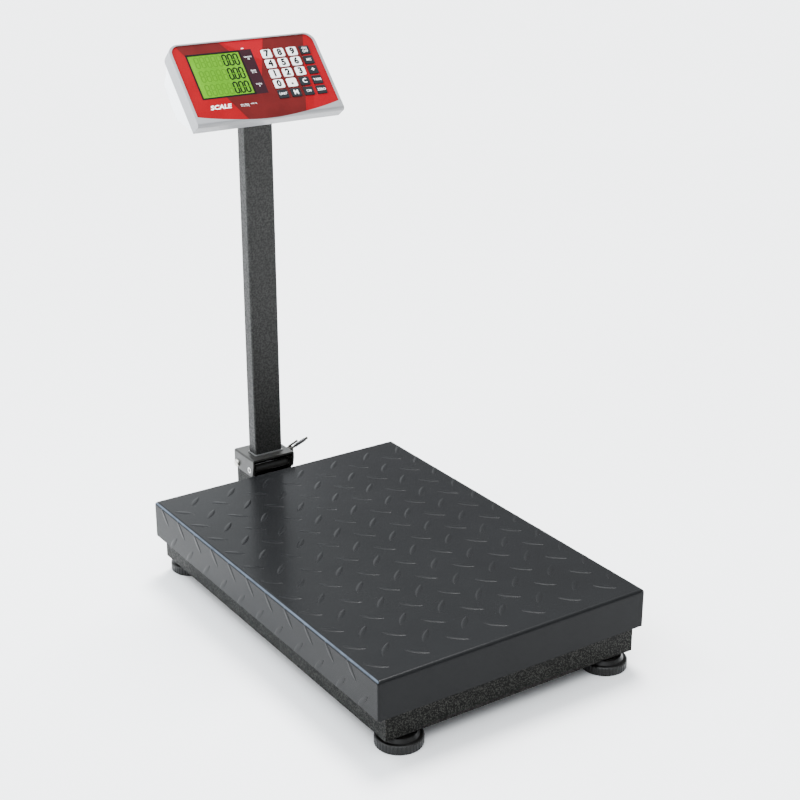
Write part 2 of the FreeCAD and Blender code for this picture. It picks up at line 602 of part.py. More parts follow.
def make_column():
    foot = "(pivot_height + bracket_top)"
    body = new_body("column_tube", "0", "deck_centre + column_back", foot)
    outside = rectangle("column_wide / 2", "-column_deep / 2", "column_deep / 2")
    pad(body, sketch_in(body, "XY_Plane", outside), f"column_top - {foot}")
    round_body(body, "column_corner", runs_along(2))
    inside = rectangle("column_wide / 2 - column_wall", "column_wall - column_deep / 2",
                       "column_deep / 2 - column_wall")
    pocket(body, sketch_in(body, "XY_Plane", inside), f"column_top - {foot}", upward=True)
    node(body, "column_tube")
    plug_half = "(column_wide / 2 - column_wall - bolt_gap)"
    plug = slab(plug_half, "column_wall + bolt_gap - column_deep / 2",
                "column_deep / 2 - column_wall - bolt_gap", "-plug_depth", "0")
    cover = soften(slab("column_wide / 2", "-column_deep / 2", "column_deep / 2", "0", "cap_thick"),
                   "column_corner", runs_along(2))
    rise = "tilt_height - column_top"
    lug = fuse(slab("lug_half", "-lug_radius", "lug_radius", "0", rise),
               rod("lug_radius", "lug_half * 2", "-lug_half", "0", rise, "X"))
    bore = rod("knob_pin + running_gap", "lug_half * 2", "-lug_half", "0", rise, "X")
    cable_way = rod("cable_slot", "plug_depth + cap_thick", "cable_side", "0", "-plug_depth")
    block = cut(fuse(plug, cover, lug), bore, cable_way)
    node(place(block, "0", "deck_centre + column_back", "column_top"), "column_cap")


# ---------------------------------------------------------------- indicator head

def head_point(up, depth):
    """A side-outline point: distance up the face, and depth behind it."""
    return (up, f"-({depth})")


def face_outline(half, low, high, depth_low, depth_high):
    return slab(half, low, high, f"-({depth_low})", f"-({depth_high})")


def key_spots():
    for line in range(5):
        for column in range(4):
            yield (line, column, f"(key_left + {column} * key_pitch_x)",
                   f"(key_top - {line} * key_pitch_y - key_high)")


def face_openings(depth_low, depth_high):
    """Tools for the display window and the twenty key holes, through a layer of the face."""
    height = f"({depth_low}) - ({depth_high})"
    tools = [box("lcd_left", "lcd_low", f"-({depth_low})", "lcd_wide", "lcd_high", height)]
    for _, _, x, y in key_spots():
        tools.append(box(f"{x} - key_gap", f"{y} - key_gap", f"-({depth_low})",
                         "key_wide + 2 * key_gap", "key_high + 2 * key_gap", height))
    return tools


def overlay_blank(depth_low, depth_high):
    """The face's coloured area: rounded at the top, a long arc at the bottom."""
    radius = "((overlay_half * overlay_half + overlay_sag * overlay_sag) / (2 * overlay_sag))"
    panel = face_outline("overlay_half", "-overlay_sag - past", "overlay_top", depth_low, depth_high)
    panel = soften(panel, "overlay_corner", top_corners("overlay_top"))
    arc = rod(radius, f"({depth_low}) - ({depth_high})", "0", f"{radius} - overlay_sag", f"-({depth_low})")
    return common(panel, arc)


def top_corners(alias):
    """Chooser for the corner edges along Z at the top of the head."""
    def choose(edge):
        return runs_along(2)(edge) and abs(edge.CenterOfMass.y - size(alias)) < 0.01
    return choose


def make_front_shell():
    outline = [("shell_top", "rim_proud"), ("-chin_front", "rim_proud"),
               ("-chin_rear", "-split_depth"), ("shell_top", "-split_depth")]
    blank = side_prism(outline, "shell_half * 2")
    blank = soften(blank, "shell_corner", top_corners("shell_top"))
    chin = (-size("chin_front"), size("rim_proud"))
    blank = soften(blank, "back_round", at_corner(*chin))
    proud = size("rim_proud")
    blank = soften(blank, "rim_round", at_level(2, proud))
    inside = face_outline("shell_half - shell_wall", "shell_wall - chin_rear", "shell_top - shell_wall",
                          "split_depth", "floor_depth")
    inside = soften(inside, "overlay_corner", lambda edge: runs_along(2)(edge) and edge.CenterOfMass.y > 0)
    recess = overlay_blank("overlay_thick", "-rim_proud")
    shell = cut(blank, inside, recess, *face_openings("floor_depth", "-rim_proud"))
    on_head(shell, "front_shell")
    overlay = cut(overlay_blank("overlay_thick", "0"), *face_openings("overlay_thick", "0"))
    on_head(overlay, "face_overlay")


def make_rear_shell():
    """Wedge-shaped back with a recess for the tilt bracket and a battery door."""
    outline = [head_point("back_top", "split_depth"), head_point("back_top", "brow_depth"),
               head_point("brow_low", "brow_rear"), head_point("bulge_high", "bulge_depth"),
               head_point("bulge_low", "bulge_rear"), head_point("-chin_rear", "split_depth")]
    blank = side_prism(outline, "back_half * 2")
    deepest = -size("bulge_rear") - size("past")
    door_depth = "bulge_rear - bulge_depth + door_reach"
    blank = soften(blank, "back_round", lambda edge: runs_along(0)(edge)
                   and edge.CenterOfMass.z < -size("brow_rear") - 1)
    plan = slab("back_half", "-chin_rear", "back_top", "-bulge_rear - past", "-split_depth")
    plan = soften(plan, "shell_corner", top_corners("back_top"))
    plan = soften(plan, "back_round", at_level(2, deepest))
    blank = common(blank, plan)
    cavity_outline = [head_point("back_top - shell_wall", "split_depth - past"),
                      head_point("back_top - shell_wall", "brow_depth - shell_wall"),
                      head_point("brow_low - wall_slip", "brow_rear - brow_wall"),
                      head_point("bulge_high - wall_slip", "bulge_depth - shell_wall"),
                      head_point("bulge_low + wall_slip", "bulge_rear - bulge_wall"),
                      head_point("chin_wall - chin_rear", "split_depth"),
                      head_point("chin_wall - chin_rear", "split_depth - past")]
    cavity = side_prism(cavity_outline, "2 * (back_half - shell_wall)")
    screws = [(f"{sign} * screw_side", up) for up in ("screw_low", "screw_high") for sign in (-1, 1)]
    bosses = [rod("boss_radius", "bulge_rear", x, y, "-split_depth - bulge_rear") for x, y in screws]
    block = slab("recess_half + shell_wall", "recess_low - shell_wall", "recess_high + shell_wall",
                 "-bulge_rear - past", "shell_wall - recess_depth")
    inner = common(blank, fuse(block, *bosses))
    shell = fuse(cut(blank, cavity), inner)
    recess = slab("recess_half", "recess_low", "recess_high", "-bulge_rear - past", "-recess_depth")
    pilots = [rod("screw_radius", "bulge_rear", x, y, "-split_depth - bulge_rear") for x, y in screws]
    seats = [rod("counterbore", "bulge_rear", x, y, f"-({seat}) - bulge_rear")
             for (x, y), seat in zip(screws, ("screw_seat_low",) * 2 + ("screw_seat_high",) * 2)]
    through = "shell_wall + 2 * past"
    wall_inside = "back_half - shell_wall - past"
    yoke_pilots = [rod("screw_radius", through, x, y, "-recess_depth - past") for x, y in yoke_screws()]
    switch_hole = box(wall_inside, "switch_up - switch_high / 2", "-switch_depth - switch_wide / 2",
                      through, "switch_high", "switch_wide")
    jack_hole = rod("jack_radius", through, wall_inside, "jack_up", "-jack_depth", "X")
    window = box("door_left", "door_low", "-bulge_rear - past", "door_wide", "door_high", door_depth)
    tools = [recess, window, switch_hole, jack_hole] + pilots + seats + yoke_pilots
    on_head(cut(shell, *tools), "rear_shell")
    lid = box("door_left + door_gap", "door_low + door_gap", "-bulge_rear - past",
              "door_wide - 2 * door_gap", "door_high - 2 * door_gap", door_depth)
    on_head(common(cut(blank, cavity), lid), "battery_door")


def yoke_screws():
    return [(f"{sign} * yoke_screw_side", up) for up in ("yoke_screw_low", "yoke_screw_high")
            for sign in (-1, 1)]


def make_head_yoke():
    """Plate in the recess with two cheeks that straddle the column's lug."""
    face = "-recess_depth - yoke_gauge"
    plate = slab("yoke_half", "yoke_low", "yoke_high", face, "-recess_depth")
    parts = [plate]
    for side in (-1, 1):
        near = "lug_half + yoke_gap" if side > 0 else "-lug_half - yoke_gap - yoke_gauge"
        parts.append(box(near, "tilt_up - yoke_radius", "-tilt_depth", "yoke_gauge", "yoke_radius * 2",
                         f"tilt_depth + ({face})"))
        parts.append(rod("yoke_radius", "yoke_gauge", near, "tilt_up", "-tilt_depth", "X"))
    bore = rod("knob_pin + running_gap", "yoke_half * 2", "-yoke_half", "tilt_up", "-tilt_depth", "X")
    holes = [rod("screw_radius + bolt_gap", "yoke_gauge", x, y, face) for x, y in yoke_screws()]
    on_head(cut(fuse(*parts), bore, *holes), "head_yoke")


def make_tilt_knob():
    """Lobed clamping knob with its stud through the tilt joint."""
    cheek = "(lug_half + yoke_gap + yoke_gauge + foot_gap)"
    stud = rod("knob_pin", f"2 * ({cheek} + past)", f"-{cheek} - past", "0", "0", "X")
    head = rod("knob_head", "knob_pin", f"-{cheek} - knob_pin", "0", "0", "X")
    grip = rod("knob_radius", "knob_length", cheek, "0", "0", "X")
    dents = []
    for turn in range(int(size("knob_lobes"))):
        angle = f"({turn} * 360 deg / knob_lobes)"
        dents.append(rod("knob_dent", "knob_length", cheek, f"dent_circle * cos({angle})",
                         f"dent_circle * sin({angle})", "X"))
    knob = fuse(stud, head, cut(grip, *dents))
    node(place(knob, "0", "deck_centre + column_back", "tilt_height"), "tilt_knob")


def make_display():
    glass = box("lcd_left + lcd_gap", "lcd_low + lcd_gap", "-lcd_back", "lcd_wide - 2 * lcd_gap",
                "lcd_high - 2 * lcd_gap", "lcd_back - lcd_front")
    carrier = box("lcd_left - lcd_border", "lcd_low - lcd_border", "-lcd_back", "lcd_wide + 2 * lcd_border",
                  "lcd_high + 2 * lcd_border", "lcd_back - floor_depth - bolt_gap")
    on_head(fuse(glass, carrier), "lcd_panel")


def make_board():
    """Circuit board with one dome switch under each key."""
    plate = slab("board_half", "board_low", "board_high", "-board_front - board_thick", "-board_front")
    domes = [rod("dome_radius", "dome_height", f"{x} + key_wide / 2", f"{y} + key_high / 2", "-board_front")
             for _, _, x, y in key_spots()]
    on_head(fuse(plate, *domes), "main_board")


def make_keys():
    names = (("7", "8", "9", "r1"), ("4", "5", "6", "r2"), ("1", "2", "3", "r3"),
             ("0", "point", "clear", "r4"), ("f1", "f2", "f3", "f4"))
    for line, column, x, y in key_spots():
        label = "key_" + names[line][column]
        lip = box(f"{x} - key_lip", f"{y} - key_lip", "-key_lip_top - key_lip_thick",
                  "key_wide + 2 * key_lip", "key_high + 2 * key_lip", "key_lip_thick")
        cap = soften(box(x, y, "-key_lip_top", "key_wide", "key_high", "key_lip_top + key_proud"),
                     "key_corner", runs_along(2))
        cap = soften(cap, "key_edge", at_level(2, size("key_proud")))
        on_head(fuse(lip, cap), label)


def make_power_parts():
    battery = box("battery_left", "battery_low", "-battery_front - battery_deep", "battery_wide",
                  "battery_high", "battery_deep")
    on_head(soften(battery, "battery_edge", lambda edge: True), "battery")
    face = "back_half"
    frame = box(face, "switch_up - switch_high / 2 - switch_frame",
                "-switch_depth - switch_wide / 2 - switch_frame", "switch_frame",
                "switch_high + 2 * switch_frame", "switch_wide + 2 * switch_frame")
    case = box(f"{face} - switch_body", "switch_up - switch_high / 2", "-switch_depth - switch_wide / 2",
               "switch_body", "switch_high", "switch_wide")
    centre = f"{face} - rocker_inset"
    well = rod("rocker_radius + foot_gap", "switch_wide - 2 * switch_frame", centre, "switch_up",
               "-switch_depth - switch_wide / 2 + switch_frame")
    on_head(cut(fuse(frame, case), well), "switch_housing")
    drum = rod("rocker_radius", "switch_wide - 2 * switch_frame - 2 * foot_gap", centre, "switch_up",
               "-switch_depth - switch_wide / 2 + switch_frame + foot_gap")
    dish = rod("dish_radius", "switch_wide", f"{centre} + dish_offset", "switch_up",
               "-switch_depth - switch_wide / 2")
    on_head(cut(drum, dish), "power_switch")
    inner = f"{face} + past - jack_length"
    spot = ("jack_up", "-jack_depth", "X")
    jack = cut(fuse(rod("jack_radius", "jack_length", inner, *spot),
                    rod("jack_flange", "rim_round", face, *spot)),
               rod("jack_bore", "jack_length", f"{inner} + jack_floor", *spot))
    pin = rod("jack_pin", "jack_pin_length", f"{inner} + jack_floor / 2", *spot)
    on_head(fuse(jack, pin), "power_jack")


def make_head_screws():
    screws = []
    for up, seat in (("screw_low", "screw_seat_low"), ("screw_high", "screw_seat_high")):
        for sign in (-1, 1):
            x = f"{sign} * screw_side"
            screws.append(fuse(rod("screw_radius", f"{seat} - split_depth", x, up, f"-{seat}"),
                               rod("screw_head", "screw_rise", x, up, f"-{seat} - screw_rise")))
    face = "(recess_depth + yoke_gauge)"
    for x, y in yoke_screws():
        screws.append(fuse(rod("screw_radius", "yoke_gauge + shell_wall", x, y, f"-{face}"),
                           rod("screw_head", "screw_rise", x, y, f"-{face} - screw_rise")))
    on_head(group(*screws), "head_screws")


# ---------------------------------------------------------------- build and write

def main():
    make_deck_plate()
    make_deck_frame()
    make_deck_buffers()
    make_base_frame()
    make_load_cell()
    make_stop_screws()
    for corner, (x, y) in zip(CORNERS, four("foot_side", "foot_end")):
        make_foot(corner, x, y)
    make_hinge_stand()
    make_pivot()
    make_column_bracket()
    make_lock()
    make_column()
    make_front_shell()
    make_rear_shell()
    make_head_yoke()
    make_tilt_knob()
    make_display()
    make_board()
    make_keys()
    make_power_parts()
    make_head_screws()
    doc.recompute()
    check_document()
    os.makedirs("parts", exist_ok=True)
    for label, thing in NODES.items():
        thing.Shape.exportStep(f"parts/{label}.step")


def check_document():
    for thing in doc.Objects:
        if "Invalid" in thing.State or "Error" in thing.State:
            raise RuntimeError(f"{thing.Name} ({thing.Label}) did not recompute")
    for label, thing in NODES.items():
        if thing.Shape.isNull() or not thing.Shape.isValid():
            raise RuntimeError(f"{label} has no valid shape")


main()
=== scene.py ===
import json
import math
import bpy
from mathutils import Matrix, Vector


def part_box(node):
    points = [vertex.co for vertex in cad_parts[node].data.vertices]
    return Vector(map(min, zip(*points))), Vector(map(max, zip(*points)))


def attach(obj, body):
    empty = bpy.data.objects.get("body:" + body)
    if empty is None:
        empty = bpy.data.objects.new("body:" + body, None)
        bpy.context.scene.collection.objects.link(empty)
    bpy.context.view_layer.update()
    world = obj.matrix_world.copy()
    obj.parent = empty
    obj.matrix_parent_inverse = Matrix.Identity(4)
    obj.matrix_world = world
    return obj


# Platform shipping scale: dark tread-plate deck on a hammertone frame, a folding column and a
# red-faced indicator head. Everything is in metres, in the CAD model's frame.

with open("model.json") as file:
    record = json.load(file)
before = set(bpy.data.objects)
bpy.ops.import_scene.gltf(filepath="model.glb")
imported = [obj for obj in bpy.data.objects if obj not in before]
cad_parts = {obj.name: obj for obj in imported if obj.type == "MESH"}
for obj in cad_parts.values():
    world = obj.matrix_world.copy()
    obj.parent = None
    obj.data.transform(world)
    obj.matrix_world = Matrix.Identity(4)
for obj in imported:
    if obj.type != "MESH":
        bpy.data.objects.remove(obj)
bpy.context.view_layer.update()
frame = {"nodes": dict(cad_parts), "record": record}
NODES = frame["nodes"]
JOINTS = {joint["name"]: joint for joint in frame["record"]["behaviour"]["joints"]}
MM = 0.001

CORNERS = ("front_left", "front_right", "rear_left", "rear_right")
KEYS = {
    "7": "7", "8": "8", "9": "9", "r1": "ON\nOFF", "4": "4", "5": "5", "6": "6", "r2": "MC",
    "1": "1", "2": "2", "3": "3", "r3": "+", "0": "0", "point": ".", "clear": "C", "r4": "TARE",
    "f1": "UNIT", "f2": "M", "f3": "CM", "f4": "ZERO",
}
WHITE_KEYS = ("7", "8", "9", "4", "5", "6", "1", "2", "3", "0", "point")


# ---------------------------------------------------------------- the head's face, as coordinates

OVERLAY_THICK = 0.8 * MM
FACE_MIDDLE = 55 * MM
KEY_PROUD = 0.9 * MM
LCD_BORDER = 4.5 * MM
FACE_OUT = -Vector(JOINTS["key_7_press"]["axis"]).normalized()
FACE_UP = Vector((1, 0, 0)).cross(FACE_OUT) * -1
OVERLAY_LOW, OVERLAY_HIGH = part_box("face_overlay")
FACE_CENTRE = (OVERLAY_LOW + OVERLAY_HIGH) / 2 + FACE_OUT * OVERLAY_THICK / 2
FACE_ORIGIN = Vector((0, FACE_CENTRE.y, FACE_CENTRE.z))


def on_face(across, up, out=0.0):
    """A point of the face: across from its middle, up from the side corners of its coloured area."""
    return Vector((across, 0, 0)) + FACE_ORIGIN + FACE_UP * (up - FACE_MIDDLE) + FACE_OUT * out


def face_position(point):
    """The reverse of on_face: (across, up) of a point of the model."""
    return point.x, (point - FACE_ORIGIN).dot(FACE_UP) + FACE_MIDDLE


# ---------------------------------------------------------------- materials

class Paint:
    """A procedural material built on one principled shader, with coordinates in metres."""

    def __init__(self, name, roughness=0.5, metallic=0.0, **inputs):
        self.material = bpy.data.materials.new(name)
        self.material.use_nodes = True
        self.tree = self.material.node_tree
        self.shader = self.tree.nodes["Principled BSDF"]
        self.shader.inputs["Roughness"].default_value = roughness
        self.shader.inputs["Metallic"].default_value = metallic
        for socket, value in inputs.items():
            self.shader.inputs[socket.replace("_", " ")].default_value = value
        self.place = self.tree.nodes.new("ShaderNodeTexCoord").outputs["Object"]

    def link(self, source, target):
        self.tree.links.new(source, target)

    def stretch(self, x, y, z):
        """Coordinates scaled along each axis, for grain that runs one way."""
        mapping = self.tree.nodes.new("ShaderNodeMapping")
        mapping.inputs["Scale"].default_value = (x, y, z)
        self.link(self.place, mapping.inputs["Vector"])
        return mapping.outputs["Vector"]

    def noise(self, size, detail=3.0, rough=0.55, at=None):
        node = self.tree.nodes.new("ShaderNodeTexNoise")
        node.inputs["Scale"].default_value = 1.0 / size
        node.inputs["Detail"].default_value = detail
        node.inputs["Roughness"].default_value = rough
        self.link(at or self.place, node.inputs["Vector"])
        return node.outputs["Fac"]

    def cell_edges(self, size):
        """Distance to the nearest border between random cells."""
        node = self.tree.nodes.new("ShaderNodeTexVoronoi")
        node.feature = "DISTANCE_TO_EDGE"
        node.inputs["Scale"].default_value = 1.0 / size
        self.link(self.place, node.inputs["Vector"])
        return node.outputs["Distance"]

    def ramp(self, value, *stops):
        node = self.tree.nodes.new("ShaderNodeValToRGB")
        elements = node.color_ramp.elements
        while len(elements) < len(stops):
            elements.new(0.5)
        for element, (position, colour) in zip(elements, stops):
            element.position = position
            element.color = (*colour, 1.0)
        self.link(value, node.inputs["Fac"])
        return node.outputs["Color"]

    def rescale(self, value, low, high, to_low, to_high):
        node = self.tree.nodes.new("ShaderNodeMapRange")
        limits = {"From Min": low, "From Max": high, "To Min": to_low, "To Max": to_high}
        for socket, number in limits.items():
            node.inputs[socket].default_value = number
        self.link(value, node.inputs["Value"])
        return node.outputs["Result"]

    def combine(self, kind, first, second):
        node = self.tree.nodes.new("ShaderNodeMath")
        node.operation = kind
        for socket, value in zip(node.inputs, (first, second)):
            if isinstance(value, (int, float)):
                socket.default_value = value
            else:
                self.link(value, socket)
        return node.outputs["Value"]

    def tint(self, colour, other, amount, kind="MIX"):
        """Mix two colours; each is a socket or three numbers."""
        node = self.tree.nodes.new("ShaderNodeMix")
        node.data_type = "RGBA"
        node.blend_type = kind
        for socket, value in ((node.inputs[6], colour), (node.inputs[7], other)):
            if isinstance(value, tuple):
                socket.default_value = (*value, 1.0)
            else:
                self.link(value, socket)
        if isinstance(amount, (int, float)):
            node.inputs[0].default_value = amount
        else:
            self.link(amount, node.inputs[0])
        return node.outputs[2]

    def beside(self, start, end, soft=0.12 * MM):
        """1 to the left of a line across the face, 0 to its right; the line runs from start to end."""
        across, up = end[0] - start[0], end[1] - start[1]
        length = math.hypot(across, up)
        normal = Vector((-up / length, 0, 0)) + FACE_UP * (across / length)
        node = self.tree.nodes.new("ShaderNodeVectorMath")
        node.operation = "DOT_PRODUCT"
        self.link(self.place, node.inputs[0])
        node.inputs[1].default_value = normal
        edge = on_face(*start).dot(normal)
        return self.rescale(node.outputs["Value"], edge - soft, edge + soft, 0.0, 1.0)

    def side_bend(self):
        """Greatest, at one half, where a surface leans midway between facing up and facing sideways."""
        parts = self.tree.nodes.new("ShaderNodeSeparateXYZ")
        self.link(self.tree.nodes.new("ShaderNodeNewGeometry").outputs["Normal"], parts.inputs["Vector"])
        return self.combine("ABSOLUTE", self.combine("MULTIPLY", parts.outputs["X"], parts.outputs["Z"]), 0.0)

    def colour(self, source):
        self.link(source, self.shader.inputs["Base Color"])

    def rough(self, source):
        self.link(source, self.shader.inputs["Roughness"])

    def bump(self, height, distance):
        node = self.tree.nodes.new("ShaderNodeBump")
        node.inputs["Distance"].default_value = distance
        node.inputs["Strength"].default_value = 1.0
        self.link(height, node.inputs["Height"])
        self.link(node.outputs["Normal"], self.shader.inputs["Normal"])


def shades(colour, spread):
    """A darker and a lighter version of a colour."""
    return (tuple(channel * (1 - spread) for channel in colour),
            tuple(min(1.0, channel * (1 + spread)) for channel in colour))


def satin_paint(name, colour, roughness, peel=1.2 * MM, depth=0.02 * MM, spread=0.12, wear=0.5, bend_highlight=None,
                **inputs):
    """Sprayed paint: colour drift, fine scuffs, orange peel and, if given a colour, a painted highlight on
    the side bends.
    """
    paint = Paint(name, roughness, **inputs)
    dark, light = shades(colour, spread)
    drift = paint.ramp(paint.noise(90 * MM, 4), (0.35, dark), (0.65, light))
    scuffs = paint.rescale(paint.noise(14 * MM, 8, 0.7), 0.60, 0.80, 0.0, wear)
    coat = paint.tint(drift, tuple(min(1.0, channel * 2.2 + 0.01) for channel in colour),
                      paint.combine("MULTIPLY", scuffs, 0.35))
    # Painted highlight: where a surface turns from top to side, the paint is lightened towards the given
    # colour as if catching light.
    if bend_highlight:
        bend_highlight_mask = paint.combine("MULTIPLY", paint.rescale(paint.side_bend(), 0.35, 0.49, 0.0, 1.0),
                               paint.rescale(paint.noise(25 * MM, 5), 0.3, 0.6, 0.6, 1.0))
        coat = paint.tint(coat, bend_highlight, bend_highlight_mask)
    paint.colour(coat)
    polish = paint.noise(30 * MM, 6)
    paint.rough(paint.rescale(polish, 0.3, 0.7, roughness - 0.1 * wear, roughness + 0.16 * wear))
    paint.bump(paint.noise(peel, 2), depth)
    return paint.material


def hammertone(name, dark, light, size, low, high, depth=0.06 * MM, **inputs):
    """Hammered enamel: pale worm-like ridges between dark pits."""
    roughness = 0.38
    paint = Paint(name, roughness, **inputs)
    pits = paint.noise(size, 2.0, 0.45)
    web = paint.ramp(pits, (low, dark), (high, light))
    patches = paint.rescale(paint.noise(40 * MM, 3), 0.3, 0.7, 0.0, 0.3)
    paint.colour(paint.tint(web, dark, patches))
    paint.rough(paint.rescale(pits, 0.3, 0.7, roughness + 0.14, roughness - 0.08))
    paint.bump(pits, depth)
    return paint.material


def moulded(name, colour, roughness, spread=0.05, **inputs):
    """Moulded plastic or rubber: spark-eroded grain, faint flow marks and handling marks."""
    paint = Paint(name, roughness, **inputs)
    dark, light = shades(colour, spread)
    flow = paint.ramp(paint.noise(35 * MM, 5), (0.3, dark), (0.7, light))
    grime = paint.rescale(paint.noise(9 * MM, 7, 0.65), 0.58, 0.78, 0.0, 0.25)
    paint.colour(paint.tint(flow, dark, grime))
    paint.rough(paint.rescale(paint.noise(6 * MM, 4), 0.3, 0.7, roughness - 0.06, roughness + 0.08))
    paint.bump(paint.noise(0.6 * MM, 2), 0.015 * MM)
    return paint.material


def metal(name, colour, roughness, along=(1, 14, 14)):
    """Bare or plated metal: drawn grain one way, small stains and varied polish."""
    paint = Paint(name, roughness, 1.0)
    dark, light = shades(colour, 0.18)
    grain = paint.noise(2.5 * MM, 4, at=paint.stretch(*along))
    tone = paint.ramp(grain, (0.3, dark), (0.7, light))
    stains = paint.rescale(paint.noise(5 * MM, 7, 0.7), 0.6, 0.8, 0.0, 0.3)
    paint.colour(paint.tint(tone, (0.10, 0.085, 0.07), stains))
    paint.rough(paint.rescale(grain, 0.3, 0.7, roughness - 0.06, roughness + 0.12))
    paint.bump(grain, 0.008 * MM)
    return paint.material


def printed(name, colour, roughness=0.32, **inputs):
    """Printed polyester film: fine screen grain and slight unevenness of ink."""
    paint = Paint(name, roughness, **inputs)
    dark, light = shades(colour, 0.06)
    paint.colour(paint.ramp(paint.noise(22 * MM, 5), (0.3, dark), (0.7, light)))
    paint.rough(paint.rescale(paint.noise(4 * MM, 5), 0.3, 0.7, roughness - 0.04, roughness + 0.07))
    paint.bump(paint.noise(0.35 * MM, 2), 0.006 * MM)
    return paint.material


def printed_face():
    """The face's red film, with a dark V-shaped band printed on it; a painted sheen on part of the wedge
    inside the V and a painted highlight in the right-hand corner are laid on in paler rose.
    """
    paint = Paint("face_red", 0.34, Specular_IOR_Level=0.05)
    top, low = 125 * MM, -15 * MM
    red = paint.ramp(paint.noise(60 * MM, 3), (0.3, (0.165, 0.0003, 0.003)), (0.7, (0.205, 0.0005, 0.004)))
    maroon = paint.ramp(paint.noise(30 * MM, 3), (0.3, (0.060, 0.0045, 0.0045)),
                        (0.7, (0.080, 0.0060, 0.0060)))
    # Painted highlight colour: a paler rose laid over the red where it would catch light.
    highlight_rose = (0.26, 0.0010, 0.008)
    apex = (9.3 * MM, 58 * MM)
    wedge = paint.combine("MULTIPLY", paint.beside((-40 * MM, top), apex, 0.2 * MM),
                          paint.beside(apex, (37.6 * MM, top), 0.2 * MM))
    band = paint.combine("MULTIPLY", paint.beside((-113 * MM, top), (-40 * MM, low)),
                         paint.beside((58 * MM, low), (109.7 * MM, top)))
    band = paint.combine("SUBTRACT", band, wedge)
    # Painted sheen over part of the wedge, lightened towards rose.
    shine = paint.combine("MULTIPLY", wedge, paint.beside((-38 * MM, top), (24 * MM, 84 * MM), 2 * MM))
    red = paint.tint(red, highlight_rose, paint.combine("MULTIPLY", shine, 0.6))
    # Painted highlight in the face's right-hand corner, lightened towards rose.
    corner = paint.beside((122 * MM, 112 * MM), (84 * MM, 16 * MM), 0.5 * MM)
    red = paint.tint(red, highlight_rose, paint.combine("MULTIPLY", corner, 0.35))
    paint.colour(paint.tint(red, maroon, band))
    paint.rough(paint.rescale(paint.noise(4 * MM, 5), 0.3, 0.7, 0.28, 0.42))
    paint.bump(paint.noise(0.35 * MM, 2), 0.006 * MM)
    return paint.material


def lit_display():
    """Green liquid-crystal glass with its backlight."""
    paint = Paint("lcd_glass", 0.22, Specular_IOR_Level=0.05, Emission_Strength=0.3)
    glow = paint.ramp(paint.noise(45 * MM, 2), (0.3, (0.052, 0.175, 0.002)), (0.7, (0.074, 0.220, 0.004)))
    lines = paint.noise(1.1 * MM, 1, at=paint.stretch(1, 0.05, 0.05))
    shade = paint.tint(glow, (0.049, 0.150, 0.002), paint.rescale(lines, 0.4, 0.7, 0.0, 0.35))
    paint.colour(shade)
    paint.link(shade, paint.shader.inputs["Emission Color"])
    paint.bump(paint.noise(0.5 * MM, 1), 0.003 * MM)
    return paint.material


def circuit_board():
    paint = Paint("circuit_board", 0.35)
    tracks = paint.rescale(paint.cell_edges(3 * MM), 0.0, 0.12, 1.0, 0.0)
    paint.colour(paint.tint((0.012, 0.11, 0.035), (0.05, 0.24, 0.08), tracks))
    paint.bump(tracks, 0.03 * MM)
    return paint.material


def floor_finish():
    paint = Paint("pale_floor", 0.9, Specular_IOR_Level=0.05)
    paint.colour(paint.ramp(paint.noise(1.5, 3), (0.3, (0.94, 0.94, 0.945)), (0.7, (0.96, 0.96, 0.965))))
    return paint.material


